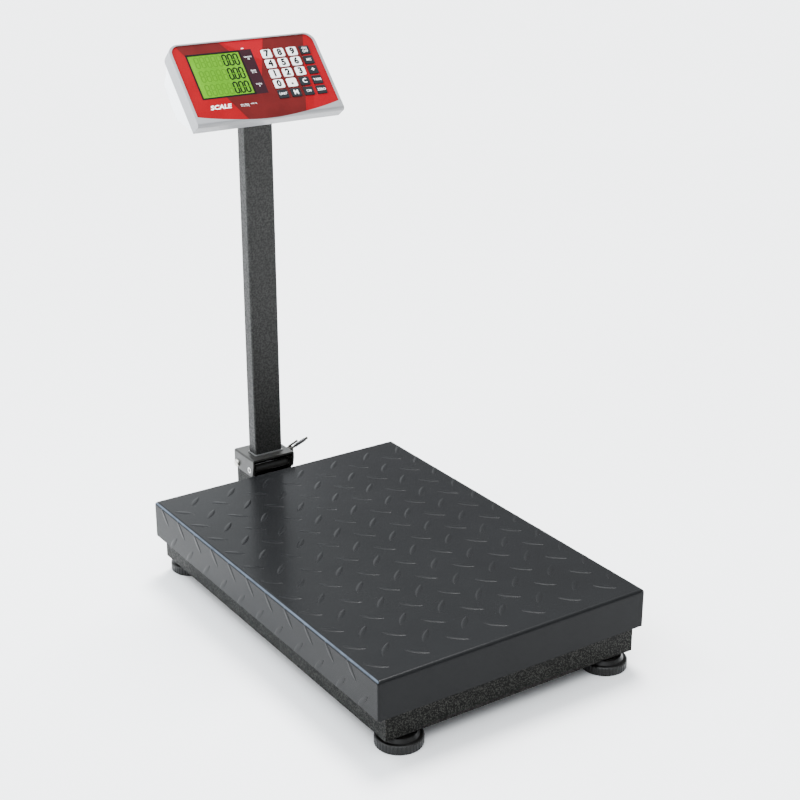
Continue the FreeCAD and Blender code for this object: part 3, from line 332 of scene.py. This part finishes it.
MATERIALS = {
    # The deck's bend colour is a painted highlight along its long side bends.
    "deck": satin_paint("deck_paint", (0.0078, 0.0080, 0.0084), 0.25, depth=0.005 * MM, spread=0.05,
                        wear=0.1, bend_highlight=(0.08, 0.10, 0.13), Specular_IOR_Level=0.05),
    "frame": hammertone("frame_hammertone", (0.0016, 0.0016, 0.0013), (0.030, 0.030, 0.027), 2.1 * MM,
                        low=0.48, high=0.60, Specular_IOR_Level=0.04),
    "column": hammertone("column_hammertone", (0.0112, 0.0112, 0.0107), (0.0275, 0.0275, 0.0262), 3.0 * MM,
                         depth=0.03 * MM, low=0.38, high=0.62, Specular_IOR_Level=0.13),
    "bracket": satin_paint("bracket_paint", (0.020, 0.0195, 0.018), 0.34, spread=0.15, wear=0.5,
                           Specular_IOR_Level=0.25),
    "weld": satin_paint("weld_paint", (0.045, 0.045, 0.043), 0.36, peel=2.5 * MM, depth=0.06 * MM),
    "foot": moulded("foot_rubber", (0.0036, 0.0034, 0.0030), 0.34, spread=0.2, Specular_IOR_Level=0.35),
    "rubber": moulded("buffer_rubber", (0.016, 0.016, 0.016), 0.75, spread=0.2),
    "zinc": metal("zinc_plate", (0.58, 0.57, 0.53), 0.32),
    "steel": metal("turned_steel", (0.52, 0.52, 0.51), 0.28),
    "blackened": metal("blackened_steel", (0.045, 0.043, 0.040), 0.36),
    "alloy": metal("cell_alloy", (0.68, 0.69, 0.71), 0.34, along=(14, 1, 14)),
    "shell": moulded("shell_white", (0.84, 0.85, 0.86), 0.40, spread=0.02),
    # Painted shade: the front shell's light grey plastic is darkened to a mid grey so its underside reads as
    # shaded.
    "bezel": moulded("shell_grey_painted_shade", (0.19, 0.19, 0.195), 0.36, spread=0.03),
    "black_plastic": moulded("black_plastic", (0.014, 0.014, 0.015), 0.42),
    "switch": moulded("switch_plastic", (0.42, 0.012, 0.012), 0.3),
    "battery": moulded("battery_case", (0.03, 0.03, 0.034), 0.5),
    "key_white": moulded("key_white", (0.74, 0.74, 0.73), 0.36, spread=0.02),
    "key_dark": moulded("key_dark", (0.0050, 0.0065, 0.0085), 0.34, spread=0.2, Specular_IOR_Level=0.12),
    "red": printed_face(),
    "label": printed("face_label", (0.018, 0.005, 0.008), Specular_IOR_Level=0.05),
    "black_ink": printed("black_ink", (0.003, 0.0035, 0.003), 0.4, Specular_IOR_Level=0.05),
    "white_ink": printed("white_ink", (0.80, 0.80, 0.80), 0.45),
    "ghost": printed("lcd_ghost", (0.047, 0.148, 0.003), 0.3, Specular_IOR_Level=0.05),
    "lcd": lit_display(),
    "board": circuit_board(),
}


# ---------------------------------------------------------------- carried CAD pieces

CARRIED = {
    "deck": ["deck_plate"],
    "frame": ["base_frame", "deck_frame", "hinge_stand"],
    "column": ["column_tube", "column_cap"],
    "bracket": ["column_bracket", "pivot_sleeve", "head_yoke"],
    "foot": [f"foot_pad_{corner}" for corner in CORNERS],
    "rubber": ["deck_buffers"],
    "zinc": ["stop_screws", "lower_bolts", "upper_bolts", "head_screws", "stop_bolt"]
            + [f"foot_stud_{corner}" for corner in CORNERS],
    "steel": ["pivot_pin", "lock_bush", "lower_spacer", "upper_spacer"],
    "blackened": ["lock_pin"],
    "alloy": ["load_cell"],
    "shell": ["rear_shell", "battery_door"],
    "bezel": ["front_shell"],
    "black_plastic": ["tilt_knob", "switch_housing", "power_jack"],
    "switch": ["power_switch"],
    "battery": ["battery"],
    "board": ["main_board"],
    "red": ["face_overlay"],
    "lcd": ["lcd_panel"],
    "key_white": [f"key_{name}" for name in WHITE_KEYS],
    "key_dark": [f"key_{name}" for name in KEYS if name not in WHITE_KEYS],
}


def dress_cad():
    for finish, names in CARRIED.items():
        for name in names:
            mesh = NODES[name].data
            mesh.materials.clear()
            mesh.materials.append(MATERIALS[finish])


# ---------------------------------------------------------------- building pieces

def piece(name, verts, faces, finish, body, smooth=True):
    """A mesh object from points in the row frame, riding on a CAD body."""
    mesh = bpy.data.meshes.new(name)
    mesh.from_pydata([tuple(point) for point in verts], [], faces)
    mesh.polygons.foreach_set("use_smooth", [smooth] * len(mesh.polygons))
    mesh.materials.append(MATERIALS[finish])
    mesh.update()
    thing = bpy.data.objects.new(name, mesh)
    bpy.context.scene.collection.objects.link(thing)
    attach(thing, body)
    return thing


def grid_faces(rows, columns, start=0, closed=False):
    """Quads over a grid of points; closed joins the last column to the first."""
    faces = []
    span = columns if closed else columns - 1
    for row in range(rows - 1):
        for column in range(span):
            left = start + row * columns + column
            right = start + row * columns + (column + 1) % columns
            faces.append((left, right, right + columns, left + columns))
    return faces


# ---------------------------------------------------------------- tread plate

TREAD_PITCH = (64.5 * MM, 55 * MM)
TREAD_START = (21.5 * MM, 14 * MM)
BAR_HALF_LONG = 17.5 * MM
BAR_HALF_WIDE = 4.6 * MM
BAR_RISE = 0.5 * MM
BAR_SUNK = 0.04 * MM
BAR_ROWS, BAR_COLUMNS = 15, 9
BEND = 5 * MM


def make_tread():
    """Raised lens-shaped bars on the deck, two ways in turn, wrapped over the side bends.

    The steps reach past the sheet, and a bar that would cross the end of a skirt or of the deck is left out.
    """
    low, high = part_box("deck_plate")
    centre = (low + high) / 2
    half_x = (high.x - low.x) / 2
    half_y = (high.y - low.y) / 2
    flat = half_x - BEND
    arc = BEND * math.pi / 2
    skirt = high.z - low.z - BEND

    def wrapped(across, along, rise):
        """A point of the flat sheet, carried over the bend and down the skirt."""
        side = math.copysign(1, across)
        distance = abs(across) - flat
        if distance <= 0:
            return Vector((centre.x + across, centre.y + along, high.z + rise))
        if distance < arc:
            angle = distance / BEND
            reach = BEND + rise
            return Vector((centre.x + side * (flat + reach * math.sin(angle)), centre.y + along,
                           high.z - BEND + reach * math.cos(angle)))
        return Vector((centre.x + side * (half_x + rise), centre.y + along,
                       high.z - BEND - (distance - arc)))

    verts = []
    faces = []
    for family in (0, 1):
        slope = 1 if family == 0 else -1
        direction = Vector((math.cos(math.pi / 4), slope * math.sin(math.pi / 4)))
        cross = Vector((-direction.y, direction.x))
        for step_x in range(-6, 6):
            for step_y in range(-7, 8):
                middle = Vector((TREAD_START[0] + (step_x + family / 2) * TREAD_PITCH[0],
                                 TREAD_START[1] + (step_y + family / 2) * TREAD_PITCH[1]))
                reach = BAR_HALF_LONG * abs(direction.x)
                if abs(middle.x) + reach > flat + arc + skirt or abs(middle.y) + reach > half_y - BEND:
                    continue
                start = len(verts)
                for row in range(BAR_ROWS):
                    along = -math.cos(math.pi * row / (BAR_ROWS - 1))
                    half_wide = BAR_HALF_WIDE * (1 - along * along) ** 0.8
                    for column in range(BAR_COLUMNS):
                        across = 2 * column / (BAR_COLUMNS - 1) - 1
                        swell = (1 - along * along) ** 0.5 * (1 - across * across)
                        spot = middle + direction * (along * BAR_HALF_LONG) + cross * (across * half_wide)
                        verts.append(wrapped(spot.x, spot.y, BAR_RISE * swell - BAR_SUNK))
                faces += grid_faces(BAR_ROWS, BAR_COLUMNS, start)
    piece("deck_tread", verts, faces, "deck", "deck")


# ---------------------------------------------------------------- weld beads

BEAD_STEP = 0.8 * MM
BEAD_SIDES = 8


def weld_bead(name, path, radius, body, finish, closed=False):
    """A rippled bead along a path of points, each with the direction it leans out."""
    verts = []
    count = len(path)
    for index, (point, out) in enumerate(path):
        ahead = path[(index + 1) % count][0] if closed or index < count - 1 else point
        behind = path[index - 1][0] if closed or index else point
        tangent = (ahead - behind).normalized()
        up = tangent.cross(out).normalized()
        ripple = radius * (1 + 0.16 * math.cos(index * math.pi / 2) + 0.07 * math.sin(index * 1.7))
        for side in range(BEAD_SIDES):
            turn = 2 * math.pi * side / BEAD_SIDES
            verts.append(point + (out * math.cos(turn) + up * math.sin(turn)) * ripple)
    faces = grid_faces(count, BEAD_SIDES, closed=True)
    last = (count - 1) * BEAD_SIDES
    if closed:
        for side in range(BEAD_SIDES):
            after = (side + 1) % BEAD_SIDES
            faces.append((last + side, last + after, after, side))
    else:
        faces += [tuple(reversed(range(BEAD_SIDES))), tuple(range(last, last + BEAD_SIDES))]
    piece(name, verts, faces, finish, body)


def run(start, end, out):
    """Evenly spaced path points from start to end."""
    count = max(4, int((end - start).length / BEAD_STEP))
    return [(start.lerp(end, index / count), out) for index in range(count)]


TUBE_CORNER = 2.5 * MM
TUBE_BEAD = 2.1 * MM
TUBE_BEAD_RISE = 0.6 * MM


def make_column_weld():
    """The bead round the tube's foot, in the bracket."""
    tube_low, tube_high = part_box("column_tube")
    foot = tube_low.z + TUBE_BEAD_RISE
    path = []
    inset = Vector((TUBE_CORNER, TUBE_CORNER, 0))
    low = Vector((tube_low.x, tube_low.y, foot)) + inset
    high = Vector((tube_high.x, tube_high.y, foot)) - inset
    spots = ((high.x, low.y, -90), (high.x, high.y, 0), (low.x, high.y, 90), (low.x, low.y, 180))
    for index, (x, y, start) in enumerate(spots):
        for turn in range(0, 91, 18):
            angle = math.radians(start + turn)
            out = Vector((math.cos(angle), math.sin(angle), 0))
            path.append((Vector((x, y, foot)) + out * TUBE_CORNER, out))
        next_x, next_y, _ = spots[(index + 1) % 4]
        angle = math.radians(start + 90)
        out = Vector((math.cos(angle), math.sin(angle), 0))
        reach = out * TUBE_CORNER
        side = run(Vector((x, y, foot)) + reach, Vector((next_x, next_y, foot)) + reach, out)
        path += side[1:]
    weld_bead("column_weld", path, TUBE_BEAD, "column", "weld", closed=True)


STAND_BEAD = 1.8 * MM
STAND_BEAD_LOW_GAP = 1 * MM
STAND_BEAD_TOP_GAP = 4 * MM
FLANGE_BEAD = 1.6 * MM
FLANGE_BEAD_OUT = 1.2 * MM
FLANGE_BEAD_END_GAP = 2 * MM
FLANGE_RISE = 34.6 * MM
CHEEK_INSET = 3.5 * MM
CHEEK_BEHIND_FRAME = 5 * MM


def make_stand_welds():
    """The beads up the hinge stand's two sides and along its flange."""
    stand_low, stand_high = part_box("hinge_stand")
    frame_low, frame_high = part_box("base_frame")
    _, bracket_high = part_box("column_bracket")
    flange_top = frame_low.z + FLANGE_RISE
    half = bracket_high.x - CHEEK_INSET
    rear = frame_high.y + CHEEK_BEHIND_FRAME
    for side, label in ((-1, "left"), (1, "right")):
        start = Vector((side * half, rear, stand_low.z + STAND_BEAD_LOW_GAP))
        end = Vector((side * half, rear, flange_top - STAND_BEAD_TOP_GAP))
        weld_bead(f"stand_weld_{label}", run(start, end, Vector((side, 0, 0))), STAND_BEAD,
                  "base", "frame")
    start = Vector((stand_low.x + FLANGE_BEAD_END_GAP, frame_high.y + FLANGE_BEAD_OUT, flange_top))
    end = Vector((stand_high.x - FLANGE_BEAD_END_GAP, frame_high.y + FLANGE_BEAD_OUT, flange_top))
    weld_bead("flange_weld", run(start, end, Vector((0, 0, 1))), FLANGE_BEAD, "base", "frame")


LEVER_LEAN = math.radians(21.7)
LEVER_BALL = 2.53 * MM
GRIP_RADIUS = 3.1 * MM
GRIP_START = 24 * MM
GRIP_END = 3 * MM


def make_lever_grip():
    """Ribbed sleeve on the outer part of the locking lever."""
    low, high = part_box("lock_pin")
    along = Vector((math.cos(LEVER_LEAN), 0, math.sin(LEVER_LEAN)))
    out = Vector((-math.sin(LEVER_LEAN), 0, math.cos(LEVER_LEAN)))
    tip = Vector((high.x - LEVER_BALL, (low.y + high.y) / 2, high.z - LEVER_BALL))
    sleeve = run(tip - along * GRIP_START, tip - along * GRIP_END, out)
    weld_bead("lever_grip", sleeve, GRIP_RADIUS, "lock", "black_plastic")


# ---------------------------------------------------------------- the head's face

# heights of the printed layers above the surface that carries each
FILM_THICK = 0.05 * MM
STRIP_RISE = 0.07 * MM
BORDER_RISE = 0.08 * MM
PRINT_RISE = 0.09 * MM
CAPTION_RISE = 0.11 * MM
LEGEND_RISE = 0.04 * MM
GHOST_RISE = 0.05 * MM
DIGIT_RISE = 0.10 * MM


def film(name, outline, finish, out):
    """A thin printed area with its own edge, lying on the face."""
    count = len(outline)
    verts = [on_face(x, y, out) for x, y in outline]
    verts += [on_face(x, y, out - FILM_THICK) for x, y in outline]
    faces = [tuple(range(count))]
    for index in range(count):
        after = (index + 1) % count
        faces.append((index, index + count, after + count, after))
    thing = piece(name, verts, faces, finish, "head", smooth=False)
    if thing.data.polygons[0].normal.dot(FACE_OUT) < 0:
        thing.data.flip_normals()


def ruled(low_x, low_y, high_x, high_y, radius=0.0):
    """A rectangle with rounded corners, as an outline."""
    if radius == 0:
        return [(low_x, low_y), (high_x, low_y), (high_x, high_y), (low_x, high_y)]
    points = []
    corners = ((high_x - radius, low_y + radius, -90), (high_x - radius, high_y - radius, 0),
               (low_x + radius, high_y - radius, 90), (low_x + radius, low_y + radius, 180))
    for x, y, start in corners:
        for turn in range(0, 91, 15):
            angle = math.radians(start + turn)
            points.append((x + radius * math.cos(angle), y + radius * math.sin(angle)))
    return points


LCD_HIGH = 73.6 * MM
LCD_EDGE = 3.0 * MM
LCD_DEPTH = 0.3 * MM
STRIP_WIDE = 20 * MM


def lcd_window():
    """The display's visible area as (low x, low y, high x, high y) on the face."""
    low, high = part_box("lcd_panel")
    _, middle_up = face_position((low + high) / 2)
    half_up = LCD_HIGH / 2
    return low.x + LCD_BORDER, middle_up - half_up, high.x - LCD_BORDER, middle_up + half_up


SEGMENTS = {
    "top": (0, 1, 1, 1), "middle": (0, 0.5, 1, 0.5), "bottom": (0, 0, 1, 0),
    "low_left": (0, 0, 0, 0.5), "high_left": (0, 0.5, 0, 1),
    "low_right": (1, 0, 1, 0.5), "high_right": (1, 0.5, 1, 1),
}
DIGIT_WIDE = 6.2 * MM
DIGIT_HIGH = 18.5 * MM
DIGIT_THICK = 2.6 * MM
DIGIT_PITCH = 9.5 * MM
DIGIT_MARGIN = 4.5 * MM
DIGIT_ROWS = 3
DIGIT_PLACES = 8
LIT_PLACES = 3
POINT_PLACE = 2
POINT_HALF = 0.8 * MM
RULE_HALF = 0.25 * MM
RULE_MARGIN = 4 * MM
ZERO = ("top", "bottom", "low_left", "high_left", "low_right", "high_right")


def segment_outline(ends):
    """A bar with pointed ends between two corners of a digit cell."""
    start = Vector((ends[0] * DIGIT_WIDE, ends[1] * DIGIT_HIGH))
    end = Vector((ends[2] * DIGIT_WIDE, ends[3] * DIGIT_HIGH))
    along = (end - start).normalized()
    side = Vector((-along.y, along.x)) * DIGIT_THICK / 2
    gap = DIGIT_THICK * 0.3
    tips = [start + along * gap * 0.35, start + along * gap + side, end - along * gap + side,
            end - along * gap * 0.35, end - along * gap - side, start + along * gap - side]
    return [(tip.x, tip.y) for tip in tips]


def make_digits():
    """Three rows of seven-segment digits with their unlit neighbours and divider lines."""
    left, low, right, high = lcd_window()
    row_high = (high - low) / DIGIT_ROWS
    parts = {"lcd_digits": [], "lcd_ghosts": []}
    for row in range(DIGIT_ROWS):
        base = low + row * row_high + (row_high - DIGIT_HIGH) / 2
        for place in range(DIGIT_PLACES):
            origin = right - DIGIT_MARGIN - DIGIT_WIDE - place * DIGIT_PITCH
            for label, ends in SEGMENTS.items():
                lit = place < LIT_PLACES and label in ZERO
                outline = segment_outline(ends)
                kind = "lcd_digits" if lit else "lcd_ghosts"
                parts[kind].append([(origin + x, base + y) for x, y in outline])
            if place == POINT_PLACE:
                dot = origin + DIGIT_WIDE + (DIGIT_PITCH - DIGIT_WIDE) / 2
                point = ruled(dot - POINT_HALF, base - POINT_HALF, dot + POINT_HALF, base + POINT_HALF)
                parts["lcd_digits"].append(point)
    for row in range(1, DIGIT_ROWS):
        line = low + row * row_high
        rule = ruled(left + RULE_MARGIN, line - RULE_HALF, right - RULE_MARGIN, line + RULE_HALF)
        parts["lcd_ghosts"].append(rule)
    for name, outlines in parts.items():
        out = (DIGIT_RISE if name == "lcd_digits" else GHOST_RISE) - LCD_DEPTH
        verts = []
        faces = []
        for outline in outlines:
            start = len(verts)
            verts += [on_face(x, y, out) for x, y in outline]
            faces.append(tuple(range(start, len(verts))))
        thing = piece(name, verts, faces, "black_ink" if name == "lcd_digits" else "ghost", "head",
                      smooth=False)
        for polygon in thing.data.polygons:
            if polygon.normal.dot(FACE_OUT) < 0:
                polygon.flip()


BORDER_GAP = 0.2 * MM
BORDER_LIP = 0.25 * MM
BORDER_OUTER_RADIUS = 1.2 * MM
BORDER_INNER_RADIUS = 0.3 * MM


def window_outline(margin, radius):
    """The display's visible area grown by a margin, as an outline."""
    left, low, right, high = lcd_window()
    return ruled(left - margin, low - margin, right + margin, high + margin, radius)


def make_border():
    """Black printed border round the window, with a lip down to the display."""
    outer = window_outline(LCD_EDGE, BORDER_OUTER_RADIUS)
    inner = window_outline(BORDER_GAP, BORDER_INNER_RADIUS)
    verts = [on_face(x, y, BORDER_RISE) for x, y in outer + inner]
    verts += [on_face(x, y, -BORDER_LIP) for x, y in inner]
    count = len(outer)
    faces = []
    for ring in (0, 1):
        for index in range(count):
            after = (index + 1) % count
            faces.append((ring * count + index, ring * count + after,
                          (ring + 1) * count + after, (ring + 1) * count + index))
    piece("lcd_border", verts, faces, "black_ink", "head", smooth=False)


def make_caption_strip():
    """The dark strip beside the display, for its captions."""
    _, low, right, high = lcd_window()
    strip = ruled(right + LCD_EDGE, low - LCD_EDGE, right + LCD_EDGE + STRIP_WIDE, high + LCD_EDGE)
    film("caption_strip", strip, "label", STRIP_RISE)


TEXT_SIZE = 1.38
LINE_SPACE = 0.95


def lettering(name, text, across, up, height, finish, out, body="head", slot="overlay_red", bold=0.0,
              align="CENTER", lean=0.0, squeeze=1.0):
    """Text as a mesh lying on the face."""
    curve = bpy.data.curves.new(name, "FONT")
    curve.body = text
    curve.size = height * TEXT_SIZE
    curve.offset = bold
    curve.shear = lean
    curve.align_x = align
    curve.align_y = "CENTER"
    curve.space_line = LINE_SPACE
    curve.resolution_u = 3
    holder = bpy.data.objects.new(name + "_text", curve)
    bpy.context.scene.collection.objects.link(holder)
    bpy.context.view_layer.update()
    flat = bpy.data.meshes.new_from_object(holder)
    bpy.data.objects.remove(holder)
    verts = [on_face(across + vertex.co.x * squeeze, up + vertex.co.y, out) for vertex in flat.vertices]
    faces = [tuple(polygon.vertices) for polygon in flat.polygons]
    bpy.data.meshes.remove(flat)
    piece(name, verts, faces, finish, body, smooth=False)


POINT_LIFT = 2.2 * MM


def make_key_legends():
    for name, text in KEYS.items():
        low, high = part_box(f"key_{name}")
        across, up = face_position((low + high) / 2)
        white = name in WHITE_KEYS
        if name == "point":
            size, bold = 13 * MM, 0.9 * MM
            up += POINT_LIFT
        elif white:
            size, bold = 11 * MM, 0.8 * MM
        elif len(text) == 1:
            size, bold = 8 * MM, 0.2 * MM
        else:
            size, bold = 4.2 * MM, 0.05 * MM
        lettering(f"legend_{name}", text, across, up, size, "black_ink" if white else "white_ink",
                  KEY_PROUD + LEGEND_RISE, body=f"key_{name}", slot="key_white" if white else "key_dark",
                  bold=bold)


CAPTIONS = ("TOTAL\n$", "PRICE\n$ / kg", "WEIGHT\nkg")
CAPTION_SIZE = 2.5 * MM
WORD_PLACE = (-96 * MM, 13 * MM)
WORD_SIZE = 7.4 * MM
NOTE = "MAX 300 kg    MIN 1 kg\ne = d = 50 g"
NOTE_PLACE = (-45 * MM, 11.5 * MM)
NOTE_SIZE = 2.0 * MM
LAMP_X, LAMP_Y = -4 * MM, 110 * MM
LAMP_HALF_WIDE = 2.2 * MM
LAMP_HALF_HIGH = 0.9 * MM
LAMP_SIDES = 16


def make_face_text():
    _, low, right, high = lcd_window()
    strip = right + LCD_EDGE + STRIP_WIDE / 2
    row = (high - low) / DIGIT_ROWS
    for index, text in enumerate(CAPTIONS):
        lettering(f"caption_{index + 1}", text, strip, low + (index + 0.5) * row, CAPTION_SIZE, "white_ink",
                  CAPTION_RISE)
    lettering("face_word", "SCALE", *WORD_PLACE, WORD_SIZE, "white_ink", PRINT_RISE, bold=0.3 * MM,
              align="LEFT", lean=0.25, squeeze=1.2)
    lettering("face_note", NOTE, *NOTE_PLACE, NOTE_SIZE, "white_ink", PRINT_RISE, align="LEFT")
    outline = []
    for turn in range(LAMP_SIDES):
        angle = turn * 2 * math.pi / LAMP_SIDES
        outline.append((LAMP_X + LAMP_HALF_WIDE * math.cos(angle), LAMP_Y + LAMP_HALF_HIGH * math.sin(angle)))
    film("charge_lamp", outline, "white_ink", PRINT_RISE)


# ---------------------------------------------------------------- stage

SKY_DIM = 0.45
SKY_BRIGHT = 4.8
PANEL_TURN = math.radians(29.6)
PANEL_GLOW = 2.6
SKY_TOP = (-0.22, 0.10, 0.97)
SKY_TINT = (0.93, 0.97, 1.0)
FLOOR_REACH = 60.0
SUN_POWER = 7.0
SUN_TRAVEL = (-0.34, -0.40, -1.0)
SUN_SPREAD = math.radians(20)
SIDE_POWER = 10
SIDE_SIZE = 0.35
SIDE_FROM_HEAD = Vector((-0.50, 0.02, 0.26))
SIDE_TINT = (0.85, 0.93, 1.0)


def make_sky():
    """A soft surround, brightest on the left and overhead, with a tall soft panel behind the scale."""
    world = bpy.data.worlds.new("studio")
    world.use_nodes = True
    tree = world.node_tree
    place = tree.nodes.new("ShaderNodeTexCoord").outputs["Generated"]

    def ramp_along(direction, low, high, to_low, to_high):
        """A value that rises smoothly between two depths along a direction."""
        lean = tree.nodes.new("ShaderNodeVectorMath")
        lean.operation = "DOT_PRODUCT"
        lean.inputs[1].default_value = Vector(direction).normalized()
        tree.links.new(place, lean.inputs[0])
        spread = tree.nodes.new("ShaderNodeMapRange")
        spread.interpolation_type = "SMOOTHSTEP"
        limits = {"From Min": low, "From Max": high, "To Min": to_low, "To Max": to_high}
        for socket, number in limits.items():
            spread.inputs[socket].default_value = number
        tree.links.new(lean.outputs["Value"], spread.inputs["Value"])
        return spread.outputs["Result"]

    def calculate(kind, first, second):
        node = tree.nodes.new("ShaderNodeMath")
        node.operation = kind
        tree.links.new(first, node.inputs[0])
        tree.links.new(second, node.inputs[1])
        return node.outputs["Value"]

    dome = ramp_along(SKY_TOP, 0.30, 1.0, SKY_DIM, SKY_BRIGHT)
    edge = ramp_along((-math.cos(PANEL_TURN), math.sin(PANEL_TURN), 0), -0.01, 0.02, 0, 1)
    middle = ramp_along((math.sin(PANEL_TURN), math.cos(PANEL_TURN), 0), 0.80, 0.90, 0, PANEL_GLOW)
    panel = calculate("MULTIPLY", edge, middle)
    background = tree.nodes["Background"]
    background.inputs["Color"].default_value = (*SKY_TINT, 1)
    tree.links.new(calculate("ADD", dome, panel), background.inputs["Strength"])
    bpy.context.scene.world = world


def make_stage():
    mesh = bpy.data.meshes.new("floor")
    corners = [(x * FLOOR_REACH, y * FLOOR_REACH, 0) for x, y in ((-1, -1), (1, -1), (1, 1), (-1, 1))]
    mesh.from_pydata(corners, [], [(0, 1, 2, 3)])
    mesh.materials.append(floor_finish())
    floor = bpy.data.objects.new("floor", mesh)
    bpy.context.scene.collection.objects.link(floor)

    make_sky()

    def lamp(name, kind, strength, direction, place=(0, 0, 0), colour=(1, 1, 1)):
        data = bpy.data.lights.new(name, kind)
        data.energy = strength
        data.color = colour
        holder = bpy.data.objects.new(name, data)
        holder.location = place
        holder.rotation_mode = "QUATERNION"
        holder.rotation_quaternion = Vector(direction).to_track_quat("-Z", "Y")
        holder.visible_camera = False
        bpy.context.scene.collection.objects.link(holder)
        return data

    lamp("key_light", "SUN", SUN_POWER, SUN_TRAVEL).angle = SUN_SPREAD
    head = (OVERLAY_LOW + OVERLAY_HIGH) / 2
    side = lamp("side_light", "AREA", SIDE_POWER, -SIDE_FROM_HEAD, head + SIDE_FROM_HEAD, SIDE_TINT)
    side.size = SIDE_SIZE


CAMERA_LENS = 71.76
CAMERA_FROM_DECK = Vector((-1.1753, -1.7981, 1.0741))
CAMERA_TURN = math.radians(33.74)
CAMERA_DOWN = math.radians(21.45)


def make_camera():
    """A long lens looking down at the deck from its front left."""
    low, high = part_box("deck_plate")
    deck = Vector(((low.x + high.x) / 2, (low.y + high.y) / 2, high.z))
    camera_data = bpy.data.cameras.new("camera")
    camera_data.sensor_width = 36
    camera_data.lens = CAMERA_LENS
    camera = bpy.data.objects.new("camera", camera_data)
    camera.location = deck + CAMERA_FROM_DECK
    level = math.cos(CAMERA_DOWN)
    look = Vector((math.sin(CAMERA_TURN) * level, math.cos(CAMERA_TURN) * level, -math.sin(CAMERA_DOWN)))
    camera.rotation_mode = "QUATERNION"
    camera.rotation_quaternion = look.to_track_quat("-Z", "Y")
    bpy.context.scene.collection.objects.link(camera)
    bpy.context.scene.camera = camera


dress_cad()
make_tread()
make_column_weld()
make_stand_welds()
make_lever_grip()
make_border()
make_caption_strip()
make_digits()
make_key_legends()
make_face_text()
make_stage()
make_camera()
